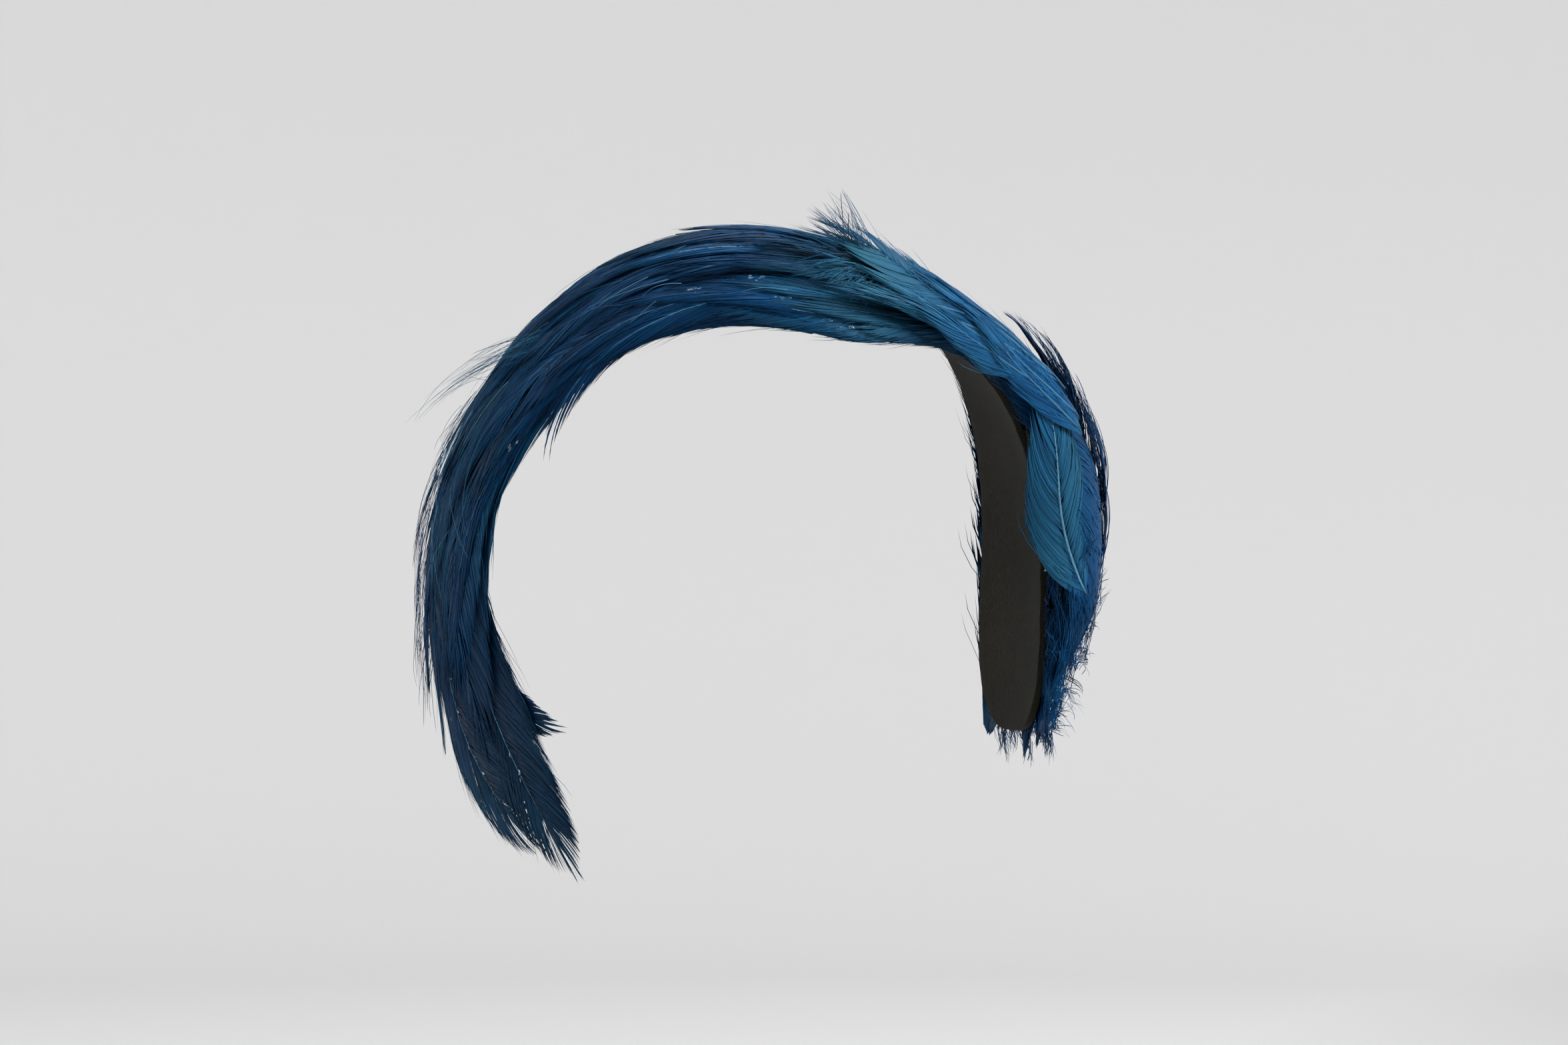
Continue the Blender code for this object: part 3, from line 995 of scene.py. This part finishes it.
class HEADBAND_OT_lifted_feather(Maker, bpy.types.Operator):
    """Stands one feather off the band above the left temple, with loose barbs along the outline."""

    bl_idname = "headband.lifted_feather"
    bl_label = "Lifted feather"
    seed = 31

    def make(self, context, rng):
        plume = Plume(
            "lifted_feather", ((26, 2), (80, 0), (124, -16)), 6.0, 0.15, TOP_LAYER, 4.5,
            tone=0.42, tint=0.1, shaft=0.5, ragged=0.6, camber=0.4, reach=34.0, strays=0.25,
        )
        replace_node(context, plume, rng)
        blocks = []
        for root_s in np.arange(34.0, 92.0, 3.5):
            w = rng.uniform(-21.0, -9.0)
            h = layer_height(root_s, TOP_LAYER) + 0.3
            tips = [
                (root_s + rng.uniform(20, 32), w + rng.normal(-2, 2), h + rng.uniform(-1.5, 2.0))
                for _ in range(2)
            ]
            root = (root_s, w, h)
            blocks.append(spray(rng, CURL, root, 0.9, tips, 7, 0.30, 0.30, tint=0.1, loose=0.5, bow=0.8))
        mesh_piece(context, "lifted_fringe", blocks)
        turned = Plume(
            "temple_feather", ((38, -32), (60, -47), (114, -25)), 6.8, 0.30, 14.0, 1.5,
            tone=0.88, tint=0.6, shaft=0.7, ragged=0.3, camber=1.2, reach=32.0,
            strays=0.04, height=1.0, settle=0.5,
        )
        plumes_piece(context, "temple_feather_barbs", [turned], rng)


class HEADBAND_OT_crown_tuft(Maker, bpy.types.Operator):
    """Splays the barbs of the crown feather's tip into a tuft."""

    bl_idname = "headband.crown_tuft"
    bl_label = "Crown tuft"
    seed = 41

    def make(self, context, rng):
        plume = Plume(
            "crown_feather", ((100, -28), (152, -33), (178, 0)), 11.0, 0.70, TOP_LAYER, 5.0,
            tone=0.82, tint=0.6, shaft=0.0, ragged=0.7, camber=0.6, reach=26.0, strays=0.12,
        )
        replace_node(context, plume, rng)
        blocks = [
            spray(rng, CURL, (168, -9, 13), 2.4, TUFT_SPIKES, 10, 0.22, 0.5, tint=0.4, loose=0.45, bow=-0.8),
            spray(rng, CURL, (166, -17, 12.5), 3.2, TUFT_FAN, 16, 0.26, 0.55, tint=0.5, loose=0.6, bow=1.0),
        ]
        mesh_piece(context, "tuft_spikes", blocks)
        plumes = [
            Plume(
                "crown_hackle", ((s, w), (s + 28, w - 5), (s + 58, w + lean)), 4.6, 0.35, TOP_LAYER - 2.0, 1.6,
                tone=tone, tint=0.4, shaft=0.35, ragged=0.4, camber=0.5, reach=38.0, barbs=0.8, settle=0.0,
            )
            for s, w, lean, tone in CROWN_HACKLES
        ]
        plumes_piece(context, "crown_hackles", plumes, rng)


class HEADBAND_OT_wisps(Maker, bpy.types.Operator):
    """Lets fine barbs stand off the right temple and the cheek."""

    bl_idname = "headband.wisps"
    bl_label = "Wisps"
    seed = 61

    def make(self, context, rng):
        tips = np.linspace((266, 5, 19), (287, -9, 26), 12)
        blocks = [spray(rng, CURL, (254, -3, 10.5), 4.5, tips, 3, 0.14, 0.65, tint=0.8, loose=2.6, bow=0.5)]
        # Short barbs along the outline, from the temple to the cheek
        for s in np.arange(268.0, 342.0, 3.0):
            for w in (-14.0, 2.0, 16.0):
                root = (s, w + rng.normal(0.0, 4.0), layer_height(s, s - TOP_RUN) - 0.2)
                tip = (s + rng.uniform(14, 26), root[1] + rng.normal(-2, 2), root[2] + rng.uniform(0.3, 2.8))
                blocks.append(spray(rng, CURL, root, 1.2, [tip], 3, 0.14, 0.6, bow=0.4))
        # Loose pale hairs over all the band
        for _ in range(40):
            s, w = rng.uniform(105.0, 320.0), rng.uniform(-24.0, 12.0)
            root = (s, w - dip(s), layer_height(s, s - TOP_RUN) + 0.1)
            tip = (s + rng.uniform(12, 30), root[1] + rng.normal(-1.0, 7.0), root[2] + rng.uniform(0.2, 0.8))
            tone = rng.uniform(0.4, 0.9)
            blocks.append(spray(rng, CURL, root, 0.3, [tip], 1, 0.15, tone, bow=0.4, kind=1.0))
        mesh_piece(context, "temple_wisps", blocks)


class HEADBAND_OT_glue(Maker, bpy.types.Operator):
    """Leaves small clear drops of glue among the feathers."""

    bl_idname = "headband.glue"
    bl_label = "Glue drops"
    seed = 71

    def make(self, context, rng):
        bm = bmesh.new()
        for s, w, h, count in GLUE:
            for _ in range(count):
                place = [s + rng.normal(0.0, 1.6), w + rng.normal(0.0, 1.0), h + rng.normal(0.0, 0.3)]
                made = bmesh.ops.create_icosphere(bm, subdivisions=2, radius=1.0)["verts"]
                long, wide, high = rng.uniform(0.25, 0.8), rng.uniform(0.15, 0.32), rng.uniform(0.14, 0.26)
                unit_points = np.array([v.co for v in made])
                points = band_points(*(unit_points * (long, wide, high) + place).T)
                for vertex, point in zip(made, points):
                    vertex.co = point
        clear = Recipe("clear_glue").finish((0.55, 0.80, 0.95, 1.0), 0.04, Transmission_Weight=1.0, IOR=1.45)
        piece = smooth_piece(context, "glue_drops", bm, clear)
        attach(piece, "root")


class HEADBAND_OT_ear_down(Maker, bpy.types.Operator):
    """Fills the ear's end with curled down."""

    bl_idname = "headband.ear_down"
    bl_label = "Ear down"
    seed = 51

    def make(self, context, rng):
        blocks = []
        # Curls all through the down
        for _ in range(70):
            s, w = rng.uniform(DOWN_START - 4.0, DOWN_END - 30.0), rng.uniform(-19.0, 16.0)
            h = BASE_THICKNESS + 0.4 + down_height(s) * rng.uniform(0.2, 0.9)
            tip = (s + rng.uniform(-6.0, 16.0), w + rng.normal(-2.0, 5.0), h + rng.uniform(1.0, 5.0))
            blocks.append(spray(rng, CURL, (s, w, h), 1.5, [tip], 6, 0.42, 0.42, tint=0.15, loose=2.0, curl=2.4))
        # Fine fluff over its front half
        for _ in range(130):
            s, w = rng.uniform(0.0, 56.0), rng.uniform(-33.0, -4.0)
            h = 4.0 + 12.5 * smooth((s + 8.0) / 46.0) * rng.uniform(0.6, 1.0)
            tip = (s + rng.normal(8.0, 6.0), w + rng.normal(-1.0, 4.0), h + rng.uniform(0.5, 4.5))
            blocks.append(spray(rng, LOCK, (s, w, h), 1.8, [tip], 8, 0.22, 0.62, tint=0.05, loose=1.5, curl=1.8))
        # Fluff along the base's front rim
        for _ in range(90):
            s, w = rng.uniform(2.0, 72.0), rng.uniform(-37.0, -22.0)
            h = rng.uniform(2.5, 5.0 + 8.0 * smooth(s / 40.0))
            tip = (s + rng.normal(8.0, 6.0), w + rng.normal(0.0, 4.0), h + rng.uniform(0.0, 3.0))
            blocks.append(spray(rng, LOCK, (s, w, h), 1.8, [tip], 8, 0.24, 0.66, tint=0.05, loose=1.6, curl=1.8))
        # Fluff below the base's round end
        for _ in range(44):
            s, w = rng.uniform(-1.0, 9.0), rng.uniform(-20.0, 19.0)
            tip = (s - rng.uniform(2.0, 9.0), w + rng.normal(0.0, 3.0), rng.uniform(2.5, 8.0))
            blocks.append(spray(rng, LOCK, (s, w, 4.0), 1.6, [tip], 9, 0.24, 0.45, tint=0.2, loose=1.5, curl=1.6))
        piece = mesh_piece(context, "ear_down_curls", blocks)
        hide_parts("ear_down")


def area_light(name, location, target, size, power, colour):
    """A round soft light that faces a point."""
    data = bpy.data.lights.new(name, "AREA")
    data.shape = "DISK"
    data.size = size
    data.energy = power
    data.color = colour
    lamp = bpy.data.objects.new(name, data)
    lamp.location = location
    lamp.rotation_euler = (Vector(target) - Vector(location)).to_track_quat("-Z", "Y").to_euler()
    bpy.context.scene.collection.objects.link(lamp)


def photo_camera_place():
    """Where the photograph was taken from, in the row frame."""
    focal = PHOTO_LENS / SENSOR * PHOTO_WIDTH
    distance = focal / PIXELS_PER_MM * MM
    a, e = math.radians(CAMERA_AZIMUTH), math.radians(CAMERA_TILT)
    back = Vector((math.sin(a) * math.cos(e), -math.cos(a) * math.cos(e), math.sin(e)))
    right = Vector((math.cos(a), math.sin(a), 0.0))
    up = back.cross(right)
    head = -Vector(SEAT) * MM
    aside = (HEAD_PIXEL[0] - PHOTO_WIDTH / 2) / focal * distance
    above = (PHOTO_HEIGHT / 2 - HEAD_PIXEL[1]) / focal * distance
    return head - right * aside - up * above + back * distance


class HEADBAND_OT_stage(bpy.types.Operator):
    """Sets the floor, the lights and the camera."""

    bl_idname = "headband.stage"
    bl_label = "Studio"

    def execute(self, context):
        look = context.scene.headband_studio
        bm = bmesh.new()
        edge = [bm.verts.new((0.0, 0.0, -look.floor_drop))]
        for i in range(13):
            turn = math.radians(90.0 * i / 12)
            out = FLOOR_RADIUS + SWEEP_RADIUS * math.sin(turn)
            up = SWEEP_RADIUS * (1.0 - math.cos(turn))
            edge.append(bm.verts.new((out, 0.0, up - look.floor_drop)))
        edge.append(bm.verts.new((FLOOR_RADIUS + SWEEP_RADIUS, 0.0, WALL_TOP)))
        for a, b in zip(edge, edge[1:]):
            bm.edges.new((a, b))
        geom = [*bm.verts, *bm.edges]
        bmesh.ops.spin(
            bm, geom=geom, cent=(0, 0, 0), axis=(0, 0, 1), angle=math.tau, steps=64, use_merge=True
        )
        bmesh.ops.remove_doubles(bm, verts=bm.verts, dist=1e-5)
        sweep = smooth_piece(context, "studio_sweep", bm, paper_material(look))

        place = photo_camera_place()
        low, high = CAD_BOX
        middle = (low + high) / 2 + Vector((0.0, 0.0, 0.006))
        data = bpy.data.cameras.new("camera")
        data.lens = look.lens
        data.sensor_width = SENSOR
        data.clip_start, data.clip_end = 0.05, 20.0
        camera = bpy.data.objects.new("camera", data)
        camera.location = place
        camera.rotation_euler = (middle - place).to_track_quat("-Z", "Y").to_euler()
        context.scene.collection.objects.link(camera)
        context.scene.camera = camera
        context.scene.view_settings.view_transform = "Standard"

        area_light("key", KEY_PLACE, middle, 1.6, look.key, (1.0, 0.985, 0.96))
        area_light("fill", FILL_PLACE, middle, 2.0, look.fill, (0.93, 0.96, 1.0))
        area_light("top", TOP_PLACE, middle, 2.2, look.top, (1.0, 1.0, 1.0))
        world = bpy.data.worlds.new("studio")
        world.use_nodes = True
        background = world.node_tree.nodes["Background"]
        background.inputs["Color"].default_value = (0.97, 0.98, 1.0, 1.0)
        background.inputs["Strength"].default_value = look.world
        context.scene.world = world
        return {"FINISHED"}


class HEADBAND_PT_panel(bpy.types.Panel):
    """Lists the headband's pieces."""

    bl_idname = "HEADBAND_PT_panel"
    bl_label = "Feather headband"
    bl_space_type = "VIEW_3D"
    bl_region_type = "UI"
    bl_category = "Headband"

    def draw(self, context):
        for operator in PIECES:
            self.layout.operator(operator.bl_idname)
        for name in LOOKS:
            look = getattr(context.scene, name)
            for key in look.__annotations__:
                self.layout.prop(look, key)


PIECES = (
    HEADBAND_OT_base,
    HEADBAND_OT_ear_down,
    HEADBAND_OT_laid_feathers,
    HEADBAND_OT_hackles,
    HEADBAND_OT_cheek_feathers,
    HEADBAND_OT_lifted_feather,
    HEADBAND_OT_crown_tuft,
    HEADBAND_OT_wisps,
    HEADBAND_OT_glue,
    HEADBAND_OT_stage,
)
LOOKS = {"headband_plumage": PlumageLook, "headband_cloth": ClothLook, "headband_studio": StudioLook}
CLASSES = (*LOOKS.values(), *PIECES, HEADBAND_PT_panel)


def register():
    for made in CLASSES:
        bpy.utils.register_class(made)
    for name, look in LOOKS.items():
        setattr(bpy.types.Scene, name, PointerProperty(type=look))


def unregister():
    for name in LOOKS:
        delattr(bpy.types.Scene, name)
    for made in reversed(CLASSES):
        bpy.utils.unregister_class(made)


def main():
    register()
    for operator in PIECES:
        group, name = operator.bl_idname.split(".")
        getattr(getattr(bpy.ops, group), name)()


if __name__ == "__main__":
    main()
